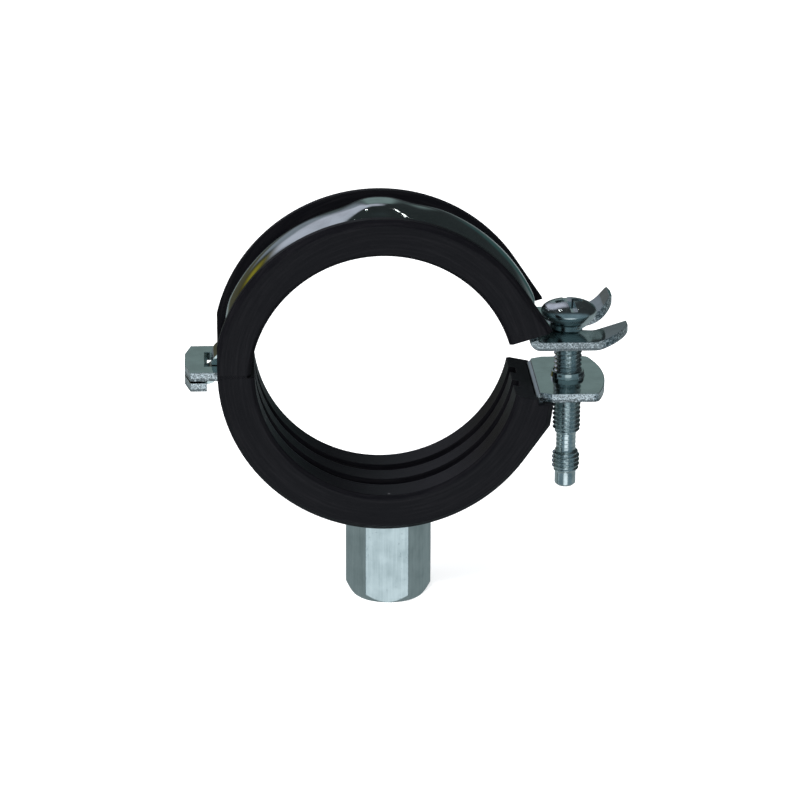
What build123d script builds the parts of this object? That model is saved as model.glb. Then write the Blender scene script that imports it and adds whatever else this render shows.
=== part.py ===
# Rubber lined pipe clamp for pipes of about 42 to 46 mm.
#
# Two zinc-plated steel half bands, each with a black rubber lining clipped over its edges,
# close round the pipe.  At the left the upper half hooks down through a slot in the lower
# half.  At the right an M5 screw hangs in the fork of the upper ear and runs in the drawn
# collar of the lower ear.  A combination nut, M10 outside and M8 inside, is welded on below.
#
# Frame: X to the closing side, Y along the pipe, Z up and away from the connection nut.
# The origin is the axis of the pipe seat of the lower half.  All lengths are millimetres.
from build123d import *
import os
from math import cos, radians, sin, sqrt

# ---- Driving dimensions ------------------------------------------------------------------

# Steel strip
strip_thickness = 1.5
ear_width = 20.0  # the strip as cut, seen at both closing ears
arch_width = 18.0  # the strip where its edges are turned in
arch_rise = 1.9  # crown of the turned-in strip above its edges
arch_facets = 3  # on each side of the crown
flat_rise = 0.02  # what is left of the crown where the strip is flat again
band_inner_radius = 26.0  # inner face of the strip at its edges
bend_inner_radius = 0.6
ear_fade_angle = 8.0  # arc over which the crown dies out towards an ear
hinge_fade_angle = 16.0  # and towards the hinge

# Rubber lining
lining_thickness = 3.45  # under the edges of the strip
lining_width = 21.0
lip_height = 1.4  # rubber above the edge of the strip
lip_reach = 0.7  # rubber over the edge of the strip
lip_chamfer = 0.9
upper_lip_angle = 34.0  # from here to its end the lip of the upper lining runs straight
lower_lip_angle = -35.0  # from here the lip of the lower lining runs straight
lower_lip_turn = -20.0  # to here, and then turns in to the ear
lower_lip_end = 0.4  # height of the lower lip at its end above lip_height
lip_depth = 4.4  # of the straight lips, from the lip inwards
bore_chamfer = 0.6
rib_pitch = 7.0
groove_width = 2.7
groove_depth = 1.2
lining_gap = 0.3  # between the two linings at the hinge, and round the lower ear

# Place of the upper half: its own arc centre, seen from that of the lower half
upper_shift = -0.76
upper_drop = 1.94

# Closing ears
screw_offset = 5.95  # screw axis outside the inner face of the strip
upper_end_angle = 16.8  # end of the upper lining above the horizontal
lower_end_angle = 11.5  # end of the lower lining below it
lower_flat_angle = 15.5  # where the lower strip leaves its arc
upper_ear_fall = 1.69  # from the end of the upper arc down to the middle of the ear
lower_ear_climb = 1.95  # from the end of the lower arc up to the middle of the ear
ear_lead = 0.7  # from the upper lining to the full width of the ear
lower_ear_flare = 2.0  # length over which the lower ear widens
lower_ear_reach = 6.35  # beyond the screw axis
lower_ear_bow = 26.0  # radius of the end of the lower ear
lower_ear_corner = 1.2
collar_diameter = 5.9
collar_height = 1.0
collar_draft = 8.0

# Fork of the upper ear, distances from the screw axis, the prongs bent up by different angles
fork_slot_width = 6.0
front_prong_angle = 20.0
front_prong_bend = 4.15
front_prong_tip = 9.69
front_prong_inner = 4.3  # inner corner of its tip off the middle
front_prong_round = 5.5
front_prong_radius = 4.0
rear_prong_angle = 50.0
rear_prong_bend = 4.85
rear_prong_tip = 8.15
rear_prong_inner = 2.6
rear_prong_round = 3.7
rear_prong_corner = 1.0
rear_prong_radius = 7.0

# Closing screw M5 x 30, heights from its seat on the upper ear
thread_diameter = 4.9
screw_length = 29.6
thread_clearance = 0.05
foot_diameter = 6.3
foot_height = 0.55
shoulder_diameter = 7.0
head_diameter = 9.7
rim_height = 2.55
head_top = 4.45
underside_point = (4.35, 1.45)  # radius and height half way up the round underside
neck_diameter = 3.5
neck_start = 19.15
neck_cone = 0.75
neck_length = 2.85
point_diameter = 3.7
point_length = 1.9
point_cone = 0.7
point_chamfer = 0.4
recess_width = 1.3
recess_length = 5.4
recess_depth = 2.0
recess_draft = 10.0
slot_depth = 1.0

# Hinge, distances outside the inner face of the strip
hinge_width = 14.4
hinge_climb = 1.83  # from the end of the lower arc up to the middle of the plate
hinge_slot_start = 1.9
hinge_slot_length = 3.2
hinge_slot_width = 7.7
hinge_land = 3.4  # beyond the slot
hinge_corner = (1.0, 4.2)  # cut off each outer corner, along X and along Y
tongue_clearance = 0.45
tongue_bend_radius = 1.0
tongue_lead = 0.9
tongue_shoulder = 0.78  # height above the plate where the tongue turns straight down
foot_gap = 0.37  # lower plate to the foot of the hook
foot_length = 3.8
foot_lap = 1.0  # of the bent strip under the foot's plan
lower_hinge_angle = 7.0  # arc left out below the plate
upper_hinge_angle = 10.0  # arc left out above it

# Pad in the middle of each half
pad_offset = 0.8  # from the arc centre
pad_height = 0.15  # above the crown
pad_top = (5.6, 6.0)
pad_foot = (13.0, 8.0)
pad_root = 1.2  # depth of its foot below its top

# Connection nut
nut_across_flats = 13.0
nut_length = 15.6
nut_turn = -5.0
nut_sink = 0.8  # top of the nut inside the crown of the strip, before it is fitted
nut_chamfer_width = 1.1
nut_chamfer_height = 1.5
m10_wall_radius = 4.25
m10_depth = 7.5
m8_wall_radius = 3.4
m8_depth = 6.6
mouth_chamfer = 0.6

# ---- Values worked out from them ---------------------------------------------------------

band_mid_radius = band_inner_radius + strip_thickness / 2
band_outer_radius = band_inner_radius + strip_thickness
crown_radius = band_outer_radius + arch_rise
bore_radius = band_inner_radius - lining_thickness
lip_radius = band_outer_radius + lip_height
lip_root = lip_radius - lip_depth
bend_radius = bend_inner_radius + strip_thickness / 2
arch_half = arch_width / 2
arch_steps = range(-arch_facets, arch_facets + 1)
arch_stations = [arch_half * step / arch_facets for step in arch_steps]
lower_centre = (0.0, 0.0)
upper_centre = (upper_shift, -upper_drop)
screw_x = band_inner_radius + screw_offset
slot_inner_x = -band_inner_radius - hinge_slot_start
slot_outer_x = slot_inner_x - hinge_slot_length
hinge_reach = hinge_land - slot_outer_x
foot_inner_x = foot_length - hinge_reach
tongue_width = hinge_slot_width - 2 * tongue_clearance
tongue_x = slot_inner_x - tongue_clearance - strip_thickness / 2
clear_of_all = 2 * hinge_reach


def on_arc(centre, angle, radius=band_mid_radius):
    """Point (x, z) on an arc of one half, the angle measured from +X towards +Z."""
    return centre[0] + radius * cos(radians(angle)), centre[1] + radius * sin(radians(angle))


def along(start, angle, length):
    """Point (x, z) at a distance from another, in a direction."""
    return start[0] + length * cos(radians(angle)), start[1] + length * sin(radians(angle))


def to_level(start, angle, level):
    """Point (x, z) where a line from start, in a direction, meets a height."""
    return along(start, angle, (level - start[1]) / sin(radians(angle)))


def radial_plane(centre, angle):
    """Plane through the axis of one half: local x is the radius, local y runs along Y."""
    return Plane(
        origin=(centre[0], 0, centre[1]),
        x_dir=(cos(radians(angle)), 0, sin(radians(angle))),
        z_dir=(-sin(radians(angle)), 0, cos(radians(angle))),
    )


def half_axis(centre):
    """Axis of one half, along Y: turning about it goes clockwise seen from the front."""
    return Axis((centre[0], 0, centre[1]), (0, 1, 0))


def arch_line(rise, half):
    """Points (x, y) across the inner face of the strip, x being the radius, to half each side."""
    across = [max(-half, min(half, y)) for y in arch_stations]
    return [(band_inner_radius + rise * (1 - (y / arch_half) ** 2), y) for y in across]


def strip_section(rise):
    """Section of the strip with its middle raised by rise."""
    inner = arch_line(rise, arch_half)
    outer = [(x + strip_thickness, y) for x, y in reversed(inner)]
    with BuildSketch() as section:
        with BuildLine():
            Polyline(*inner, *outer, close=True)
        make_face()
    return section.sketch


def opening_section(rise):
    """Section of the space over the strip's inner face, between the lips of the lining."""
    half = arch_half - lip_reach
    far = lip_radius + 2 * arch_rise
    with BuildSketch() as section:
        with BuildLine():
            Polyline(*arch_line(rise, half), (far, half), (far, -half), close=True)
        make_face()
    return section.sketch


def lining_section():
    """Section of the lining before the strip is let into it: a ribbed block, chamfered."""
    with BuildSketch() as section:
        with Locations(((bore_radius + lip_radius) / 2, 0)):
            Rectangle(lip_radius - bore_radius, lining_width)
        chamfer(section.vertices().group_by(Axis.X)[-1], lip_chamfer)
        chamfer(section.vertices().group_by(Axis.X)[0], bore_chamfer)
        with Locations((bore_radius, -rib_pitch / 2), (bore_radius, rib_pitch / 2)):
            Rectangle(2 * groove_depth, groove_width, mode=Mode.SUBTRACT)
    return section.sketch


def lip_section(outer):
    """Section of the outer part of the lining, out to a radius."""
    half = lining_width / 2
    edge = half - lip_chamfer
    side = outer - lip_chamfer
    points = ((lip_root, -half), (side, -half), (outer, -edge), (outer, edge), (side, half))
    with BuildSketch() as section:
        with BuildLine():
            Polyline(*points, (lip_root, half), close=True)
        make_face()
    return section.sketch


def straight_lips(centre, places):
    """Lips that run straight from place to place, each an angle and an outer radius."""
    sections = [radial_plane(centre, angle) * lip_section(outer) for angle, outer in places]
    return loft(sections, ruled=True, mode=Mode.PRIVATE)


def swept(section, centre, start, end):
    """Solid of a section carried round a half, from start down to end."""
    return revolve(
        radial_plane(centre, start) * section,
        axis=half_axis(centre),
        revolution_arc=start - end,
        mode=Mode.PRIVATE,
    )


def faded(section, centre, full, flat):
    """Solid of a section whose crown dies out between two angles."""
    places = [(full, arch_rise), ((full + flat) / 2, arch_rise / 2), (flat, flat_rise)]
    sections = [radial_plane(centre, angle) * section(rise) for angle, rise in places]
    return loft(sections, ruled=True, mode=Mode.PRIVATE)


def crowned(section, centre, start, end, start_fade, end_fade):
    """Solids of a section along a half: flat, rising, full crown, falling, flat."""
    return [
        faded(section, centre, start - start_fade, start),
        swept(section(arch_rise), centre, start - start_fade, end + end_fade),
        faded(section, centre, end + end_fade, end),
    ]


def bent_strip(*points, radii):
    """Side view of the strip, bent along a centre line with these corners."""
    with BuildSketch(Plane.XZ) as side:
        with BuildLine() as centre_line:
            FilletPolyline(*points, radius=radii)
        trace(centre_line.line, line_width=strip_thickness)
    return side.sketch


def pad(centre, up):
    """Pressed pad on the crown of one half, up or down."""
    level = centre[1] + up * (crown_radius + pad_height)
    x = centre[0] + pad_offset
    with BuildPart(mode=Mode.PRIVATE) as mound:
        with BuildSketch(Plane((x, 0, level))):
            Rectangle(*pad_top)
        with BuildSketch(Plane((x, 0, level - up * pad_root))):
            Rectangle(*pad_foot)
        loft(ruled=True)
    return mound.part


def hinge_outline(inner_x):
    """Plan of a hinge plate, its two outer corners cut off."""
    half = hinge_width / 2
    cut_x, cut_y = hinge_corner
    with BuildSketch(Plane.XY) as outline:
        with BuildLine():
            Polyline(
                (inner_x, -half),
                (cut_x - hinge_reach, -half),
                (-hinge_reach, cut_y - half),
                (-hinge_reach, half - cut_y),
                (cut_x - hinge_reach, half),
                (inner_x, half),
                close=True,
            )
        make_face()
    return outline.sketch


# ---- Lower band: hinge plate with its slot, arc, and the ear with the drawn collar -------

lower_start = on_arc(lower_centre, -lower_flat_angle)
lower_ear_middle = lower_start[1] + lower_ear_climb
lower_ear_top = lower_ear_middle + strip_thickness / 2
lower_ear_bend = to_level(lower_start, 90 - lower_flat_angle, lower_ear_middle)
lower_ear_end = screw_x + lower_ear_reach
lower_hinge_start = on_arc(lower_centre, 180 + lower_hinge_angle)
hinge_plate_middle = lower_hinge_start[1] + hinge_climb
hinge_plate_top = hinge_plate_middle + strip_thickness / 2
lower_hinge_bend = to_level(lower_hinge_start, 90 + lower_hinge_angle, hinge_plate_middle)
plate_inner_x = lower_hinge_bend[0] - bend_radius
lower_turns = (-lower_flat_angle, lower_hinge_angle - 180, ear_fade_angle, hinge_fade_angle)

with BuildPart() as lower_band:
    add(crowned(strip_section, lower_centre, *lower_turns))
    add(pad(lower_centre, -1))
    ear_points = (lower_start, lower_ear_bend, (lower_ear_end, lower_ear_middle))
    extrude(bent_strip(*ear_points, radii=bend_radius), arch_half, both=True)
    with BuildSketch(Plane.XY.offset(lower_ear_top - strip_thickness)):
        with BuildLine():
            Polyline(
                (lower_ear_end, -ear_width / 2),
                (lower_ear_bend[0] + lower_ear_flare, -ear_width / 2),
                (lower_ear_bend[0], -arch_half),
                (lower_ear_bend[0], arch_half),
                (lower_ear_bend[0] + lower_ear_flare, ear_width / 2),
                (lower_ear_end, ear_width / 2),
                close=True,
            )
        make_face()
    extrude(amount=strip_thickness)
    with BuildSketch(Plane.XY.offset(lower_ear_top)):
        with Locations((screw_x, 0)):
            Circle(collar_diameter / 2)
    extrude(amount=collar_height, taper=collar_draft)
    with BuildSketch(Plane.XY.offset(lower_ear_top - 2 * strip_thickness)):
        with Locations((lower_ear_end, 0)):
            Rectangle(2 * lower_ear_reach, 2 * ear_width)
        with Locations((lower_ear_end - lower_ear_bow, 0)):
            Circle(lower_ear_bow, mode=Mode.SUBTRACT)
    extrude(amount=3 * strip_thickness, mode=Mode.SUBTRACT)
    fillet(lower_band.edges().filter_by(Axis.Z).group_by(Axis.X)[-1], lower_ear_corner)
    with Locations((screw_x, 0, lower_ear_top)):
        Hole(thread_diameter / 2 + thread_clearance, depth=clear_of_all)
    hinge_points = (lower_hinge_start, lower_hinge_bend, (plate_inner_x, hinge_plate_middle))
    extrude(bent_strip(*hinge_points, radii=bend_radius), hinge_width / 2, both=True)
    extrude(
        Plane.XY.offset(hinge_plate_top - strip_thickness) * hinge_outline(plate_inner_x),
        strip_thickness,
    )
    with BuildSketch(Plane.XY.offset(hinge_plate_top)):
        with Locations(((slot_inner_x + slot_outer_x) / 2, 0)):
            Rectangle(hinge_slot_length, hinge_slot_width)
    extrude(amount=-2 * strip_thickness, mode=Mode.SUBTRACT)

# ---- Upper band: hooked tongue, arc, and the ear with its open fork -----------------------

upper_start = on_arc(upper_centre, upper_end_angle)
upper_ear_middle = upper_start[1] - upper_ear_fall
upper_ear_top = upper_ear_middle + strip_thickness / 2
upper_ear_bend = to_level(upper_start, upper_end_angle - 90, upper_ear_middle)
upper_lead = along(upper_start, upper_end_angle - 90, ear_lead)
tongue_start = on_arc(upper_centre, 180 - upper_hinge_angle)
tongue_turn = along(tongue_start, -90 - upper_hinge_angle, tongue_lead)
foot_top = hinge_plate_top - strip_thickness - foot_gap
foot_middle = foot_top - strip_thickness / 2
front_tip = screw_x + front_prong_tip
rear_tip = screw_x + rear_prong_tip
half_ear = ear_width / 2
upper_turns = (180 - upper_hinge_angle, upper_end_angle, hinge_fade_angle, ear_fade_angle)


def prong(bend, radius, angle, tip, width):
    """One half of the upper ear, its prong bent up, to one side of the middle."""
    corner = (screw_x + bend, upper_ear_middle)
    length = (tip - bend) / cos(radians(angle))
    points = (upper_lead, upper_ear_bend, corner, along(corner, angle, length))
    side = bent_strip(*points, radii=(bend_radius, radius))
    return extrude(side, width, mode=Mode.PRIVATE)


with BuildPart() as upper_band:
    add(crowned(strip_section, upper_centre, *upper_turns))
    add(pad(upper_centre, 1))
    ear_points = (upper_start, upper_ear_bend, (screw_x, upper_ear_middle))
    extrude(bent_strip(*ear_points, radii=bend_radius), arch_half, both=True)
    add(prong(front_prong_bend, front_prong_radius, front_prong_angle, front_prong_tip, half_ear))
    add(prong(rear_prong_bend, rear_prong_radius, rear_prong_angle, rear_prong_tip, -half_ear))
    with BuildSketch(Plane.XY):
        with BuildLine():
            front_curve = (front_tip - front_prong_round, -half_ear)
            front_end = (front_tip, front_prong_round - half_ear)
            outer_round = RadiusArc(front_curve, front_end, -front_prong_round)
            Polyline(
                outer_round @ 1,
                (front_tip, -front_prong_inner),
                (screw_x, -fork_slot_width / 2),
                (screw_x, fork_slot_width / 2),
                (rear_tip - rear_prong_round, rear_prong_inner),
            )
            inner_round = RadiusArc(
                (rear_tip - rear_prong_round, rear_prong_inner),
                (rear_tip, rear_prong_inner + rear_prong_round),
                -rear_prong_round,
            )
            Line(inner_round @ 1, (rear_tip, half_ear - rear_prong_corner))
            Line((rear_tip, half_ear - rear_prong_corner), (rear_tip - rear_prong_corner, half_ear))
            Polyline(
                (rear_tip - rear_prong_corner, half_ear),
                (rear_tip - rear_prong_corner, ear_width),
                (screw_x + ear_width, ear_width),
                (screw_x + ear_width, -ear_width),
                (front_tip - front_prong_round, -ear_width),
                front_curve,
            )
        make_face()
        with Locations((screw_x, 0)):
            Circle(fork_slot_width / 2)
    extrude(amount=clear_of_all, mode=Mode.SUBTRACT)
    tongue_points = (
        tongue_start,
        tongue_turn,
        (tongue_x, hinge_plate_top + tongue_shoulder),
        (tongue_x, foot_middle),
        (foot_inner_x - foot_lap, foot_middle),
    )
    tongue_radii = (bend_radius, bend_radius, tongue_bend_radius + strip_thickness / 2)
    extrude(bent_strip(*tongue_points, radii=tongue_radii), tongue_width / 2, both=True)
    extrude(
        Plane.XY.offset(foot_top - strip_thickness) * hinge_outline(foot_inner_x), strip_thickness
    )

# ---- Linings: ribbed rubber, clipped over the edges of each band --------------------------

lower_lining_top = hinge_plate_top + lining_gap / 3
ear_relief = (lower_ear_bend[0] - lining_gap, lower_ear_top - strip_thickness - lining_gap)
flat_opening = opening_section(flat_rise)

lower_lip_places = (
    (lower_lip_angle, lip_radius),
    (lower_lip_turn, lip_radius / cos(radians(lower_lip_turn - lower_lip_angle))),
    (-lower_end_angle, lip_radius + lower_lip_end),
)
upper_lip_places = (
    (upper_lip_angle, lip_radius),
    (upper_end_angle, lip_radius / cos(radians(upper_lip_angle - upper_end_angle))),
)

with BuildPart() as lower_lining:
    add(swept(lining_section(), lower_centre, -lower_end_angle, -180))
    add(straight_lips(lower_centre, lower_lip_places))
    add(crowned(opening_section, lower_centre, *lower_turns), mode=Mode.SUBTRACT)
    add(swept(flat_opening, lower_centre, 0, -lower_flat_angle), mode=Mode.SUBTRACT)
    add(swept(flat_opening, lower_centre, lower_hinge_angle - 180, -180), mode=Mode.SUBTRACT)
    add(lower_band.part, mode=Mode.SUBTRACT)
    split(bisect_by=Plane.XY.offset(lower_lining_top), keep=Keep.BOTTOM)
    with BuildSketch(Plane.XY.offset(ear_relief[1])):
        with Locations((ear_relief[0] + ear_width, 0)):
            Rectangle(2 * ear_width, 2 * ear_width)
    extrude(amount=clear_of_all, mode=Mode.SUBTRACT)

with BuildPart() as upper_lining:
    add(swept(lining_section(), upper_centre, 180, upper_end_angle))
    add(straight_lips(upper_centre, upper_lip_places))
    add(crowned(opening_section, upper_centre, *upper_turns), mode=Mode.SUBTRACT)
    add(swept(flat_opening, upper_centre, 180, 180 - upper_hinge_angle), mode=Mode.SUBTRACT)
    add(upper_band.part, mode=Mode.SUBTRACT)
    split(bisect_by=Plane.XY.offset(lower_lining_top + lining_gap), keep=Keep.TOP)
    split(bisect_by=Plane.YZ.offset(-lip_radius), keep=Keep.TOP)

# ---- Connection nut: hexagon, stepped bore, welded to the pad of the lower band -----------

nut_x = lower_centre[0] + pad_offset
nut_top = nut_sink - crown_radius
nut_bottom = nut_top - nut_length
nut_corner_radius = nut_across_flats / sqrt(3)
nut_place = Plane((nut_x, 0, nut_bottom))

with BuildPart() as connection_nut:
    with BuildSketch(nut_place):
        RegularPolygon(nut_corner_radius, 6, rotation=nut_turn)
    extrude(amount=nut_top - nut_bottom)
    with BuildSketch(Plane((nut_x, 0, nut_bottom), x_dir=(1, 0, 0), z_dir=(0, -1, 0))):
        with BuildLine():
            Polyline(
                (nut_corner_radius - nut_chamfer_width, 0),
                (nut_corner_radius + nut_chamfer_width, 0),
                (nut_corner_radius + nut_chamfer_width, 2 * nut_chamfer_height),
                close=True,
            )
        make_face()
    revolve(axis=Axis((nut_x, 0, 0), (0, 0, 1)), mode=Mode.SUBTRACT)
    with BuildSketch(nut_place):
        Circle(m8_wall_radius)
    extrude(amount=m10_depth + m8_depth, mode=Mode.SUBTRACT)
    with BuildSketch(nut_place):
        Circle(m10_wall_radius)
    extrude(amount=m10_depth, mode=Mode.SUBTRACT)
    mouth = connection_nut.faces().sort_by(Axis.Z)[0].edges().filter_by(GeomType.CIRCLE)
    chamfer(mouth.filter_by(lambda edge: edge.radius < m10_wall_radius + mouth_chamfer), mouth_chamfer)
    add(lower_band.part, mode=Mode.SUBTRACT)

# ---- Closing screw: domed head, thread, neck where it tips out of the lower ear, point ----

screw_seat = Plane((screw_x, 0, upper_ear_top), x_dir=(1, 0, 0), z_dir=(0, -1, 0))
thread_radius = thread_diameter / 2
neck_end = neck_start + 2 * neck_cone + neck_length

with BuildPart() as closing_screw:
    with BuildSketch(screw_seat):
        with BuildLine():
            Polyline(
                (0, head_top),
                (0, -screw_length),
                (point_diameter / 2 - point_chamfer, -screw_length),
                (point_diameter / 2, point_chamfer - screw_length),
                (point_diameter / 2, point_length - screw_length),
                (thread_radius, point_length + point_cone - screw_length),
                (thread_radius, -neck_end),
                (neck_diameter / 2, neck_cone - neck_end),
                (neck_diameter / 2, -neck_start - neck_cone),
                (thread_radius, -neck_start),
                (thread_radius, 0),
                (foot_diameter / 2, 0),
                (foot_diameter / 2, foot_height),
                (shoulder_diameter / 2, foot_height),
            )
            ThreePointArc(
                (shoulder_diameter / 2, foot_height), underside_point, (head_diameter / 2, rim_height)
            )
            EllipticalCenterArc(
                (0, rim_height), head_diameter / 2, head_top - rim_height, start_angle=0, arc_size=90
            )
        make_face()
    revolve(axis=Axis((screw_x, 0, 0), (0, 0, 1)))
    crown_plane = Plane.XY.offset(upper_ear_top + head_top)
    with BuildSketch(crown_plane):
        with Locations((screw_x, 0)):
            Rectangle(recess_length, recess_width)
            Rectangle(recess_width, recess_length)
    extrude(amount=-recess_depth, taper=recess_draft, mode=Mode.SUBTRACT)
    with BuildSketch(crown_plane):
        with Locations((screw_x, 0)):
            Rectangle(recess_width, 2 * head_diameter)
    extrude(amount=-slot_depth, mode=Mode.SUBTRACT)

# ---- Labels and files ---------------------------------------------------------------------

pieces = {
    "lower_band": lower_band,
    "upper_band": upper_band,
    "lower_lining": lower_lining,
    "upper_lining": upper_lining,
    "connection_nut": connection_nut,
    "closing_screw": closing_screw,
}

os.makedirs("parts", exist_ok=True)
for name, piece in pieces.items():
    piece.part.label = name
    export_step(piece.part, f"parts/{name}.step")
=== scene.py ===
"""Rubber lined pipe clamp: its finishes, the closing screw and the thread turns, light and camera.

Lengths are metres in the frame of the solids: X to the closing side, Y along the pipe, Z up,
the origin on the axis of the pipe seat of the lower half.
"""
import logging
from dataclasses import dataclass
from enum import Enum
from math import cos, exp, pi, radians, sin
from typing import Any, Callable, Iterable, Sequence

import bmesh
import bpy
from mathutils import Matrix, Vector


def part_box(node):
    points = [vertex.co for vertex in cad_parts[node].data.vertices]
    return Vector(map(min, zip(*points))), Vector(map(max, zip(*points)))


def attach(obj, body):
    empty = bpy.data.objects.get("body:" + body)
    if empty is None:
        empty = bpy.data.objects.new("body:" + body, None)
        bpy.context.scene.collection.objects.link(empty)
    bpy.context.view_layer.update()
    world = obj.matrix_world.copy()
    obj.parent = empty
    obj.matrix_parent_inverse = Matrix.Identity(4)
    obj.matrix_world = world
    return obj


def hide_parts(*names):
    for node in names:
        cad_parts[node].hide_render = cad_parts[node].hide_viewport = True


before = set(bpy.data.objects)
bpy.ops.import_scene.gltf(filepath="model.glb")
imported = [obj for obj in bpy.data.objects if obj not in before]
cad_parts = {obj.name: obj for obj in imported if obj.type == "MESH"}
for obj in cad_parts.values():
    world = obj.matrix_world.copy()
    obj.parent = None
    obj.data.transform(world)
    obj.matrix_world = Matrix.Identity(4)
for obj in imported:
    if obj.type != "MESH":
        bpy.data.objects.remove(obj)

MM = 0.001
Colour = tuple[float, float, float]
Point = tuple[float, float, float]
Span = tuple[float, float]
Socket = bpy.types.NodeSocket
Material = bpy.types.Material
Piece = bpy.types.Object
Mesh = bmesh.types.BMesh
Value = Socket | float
SHEARED_LEVELS = (-5.95 * MM, -4.05 * MM, -2.18 * MM, 3.35 * MM)  # foot of each level cut edge
SHEARED_BAND = (0.35 * MM, 0.6 * MM)  # the bright band over that foot: full, gone
CUT_SIDE = (6.6 * MM, 6.8 * MM)  # way across from which a face along the pipe is a cut edge
CUT_END = (33.5 * MM, 33.7 * MM)  # way from the axis from which an upright face is a cut end
ARC_RADIUS = 26.0 * MM  # inner face of the strips
FINER = 3.7  # scale of the fine lines against the broad ones
SMOOTH_ANGLE = 40.0  # crease of the pieces that are drawn smooth
BOX_FACES = ((3, 2, 1, 0), (4, 5, 6, 7), (0, 1, 5, 4), (1, 2, 6, 5), (2, 3, 7, 6), (3, 0, 4, 7))
log = logging.getLogger("clamp")


class Slot(Enum):
    """Material slots of the record."""

    STRIP = "zinc_strip"
    RUBBER = "black_rubber"
    NUT = "zinc_nut"
    SCREW = "zinc_screw"


class Body(Enum):
    """Bodies that the pieces ride on."""

    LOWER = "lower_half"
    UPPER = "upper_half"
    SCREW = "screw"


# ---- Node graphs ----


class Graph:
    """Short ways to add and join the nodes of one tree."""

    def __init__(self, tree: bpy.types.NodeTree) -> None:
        """Takes the tree that the nodes go into."""
        self.tree = tree

    def add(self, kind: str, inputs: dict | None = None, **settings: Any) -> bpy.types.Node:
        """Adds one node.

        Args:
            kind: Name of the node's type without its ShaderNode prefix.
            inputs: Sockets by name or number, each with a value or with a socket to join.
            settings: Properties of the node.

        Returns:
            The node.
        """
        prefix = "" if kind.startswith(("NodeGroup", "GeometryNode")) else "ShaderNode"
        node = self.tree.nodes.new(prefix + kind)
        for key, value in settings.items():
            setattr(node, key, value)
        self.fill(node, inputs or {})
        return node

    def fill(self, node: bpy.types.Node, inputs: dict) -> None:
        """Joins or sets some inputs of a node, by name or number."""
        for key, value in inputs.items():
            self.put(node.inputs[key], value)

    def put(self, socket: Socket, value: Any) -> None:
        """Joins a socket to another one, or sets its constant."""
        if isinstance(value, Socket):
            self.tree.links.new(value, socket)
        elif socket.type == "RGBA" and len(value) == 3:
            socket.default_value = (*value, 1.0)
        else:
            socket.default_value = value

    def math(
        self, operation: str, first: Value, second: Value = 0.0, third: Value | None = None
    ) -> Socket:
        """Result of one sum on numbers or sockets.

        Args:
            operation: Name of the operation.
            first: First number or socket.
            second: Second number or socket.
            third: Third number or socket, where the operation has one.

        Returns:
            The result's socket.
        """
        node = self.add("Math", {0: first, 1: second}, operation=operation)
        if third is not None:
            self.put(node.inputs[2], third)
        return node.outputs[0]

    def times(self, first: Value, second: Value) -> Socket:
        """Product of two values."""
        return self.math("MULTIPLY", first, second)

    def rest(self, value: Value) -> Socket:
        """What a value lacks to 1."""
        return self.math("SUBTRACT", 1.0, value)

    def step(self, value: Value, low: float, high: float) -> Socket:
        """Smooth step of a value.

        Args:
            value: The value.
            low: Where the step starts from 0.
            high: Where it reaches 1.

        Returns:
            The step's socket.
        """
        sockets = {"Value": value, "From Min": low, "From Max": high}
        node = self.add("MapRange", sockets, interpolation_type="SMOOTHSTEP", clamp=True)
        return node.outputs["Result"]

    def between(self, value: Value, low: float, high: float) -> Socket:
        """A value from 0 to 1 laid out between two numbers."""
        sockets = {"Value": value, "To Min": low, "To Max": high}
        return self.add("MapRange", sockets, clamp=True).outputs["Result"]

    def mix(self, factor: Value, first: Any, second: Any) -> Socket:
        """Colour between two colours.

        Args:
            factor: 0 for the first colour, 1 for the second.
            first: First colour or socket.
            second: Second colour or socket.

        Returns:
            The colour's socket.
        """
        sockets = {0: factor, 6: first, 7: second}
        return self.add("Mix", sockets, data_type="RGBA", clamp_factor=True).outputs[2]

    def blend(self, factor: Value, first: Value, second: Value) -> Socket:
        """Number between two numbers, the second at a factor of 1."""
        sockets = {0: factor, 2: first, 3: second}
        return self.add("Mix", sockets, data_type="FLOAT").outputs[0]

    def split(self, vector: Socket) -> tuple:
        """The three parts of a vector."""
        return tuple(self.add("SeparateXYZ", {0: vector}).outputs)

    def join(self, x: Value, y: Value, z: Value) -> Socket:
        """A vector from its three parts."""
        return self.add("CombineXYZ", {0: x, 1: y, 2: z}).outputs[0]

    def noise(self, vector: Socket, scale: float, detail: float = 2.0) -> Socket:
        """Noise from 0 to 1."""
        sockets = {"Vector": vector, "Scale": scale, "Detail": detail, "Roughness": 0.55}
        return self.add("TexNoise", sockets).outputs["Fac"]

    def relief(
        self, shader: bpy.types.Node, height: Value, depth: float, soft: float, share: float = 1.0
    ) -> None:
        """Raises a finish into fine bumps, over edges that look rounded.

        Args:
            shader: Shader of the finish.
            height: Height of the bumps, from 0 to 1.
            depth: How deep they go.
            soft: Radius that the edges seem rounded by.
            share: How strongly the bumps show, from 0 to 1.
        """
        bevel = self.add("Bevel", {"Radius": soft}, samples=4)
        sockets = {"Height": height, "Distance": depth, "Strength": share}
        bump = self.add("Bump", {**sockets, "Normal": bevel.outputs[0]})
        self.put(shader.inputs["Normal"], bump.outputs[0])

    def effect(self, group: bpy.types.NodeTree, **inputs: Any) -> bpy.types.Node:
        """Adds a shared effect.

        Args:
            group: The effect.
            inputs: Its sockets by name, each with a value or with a socket to join.

        Returns:
            The effect's node.
        """
        return self.add("Group", inputs, node_tree=group)


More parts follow.
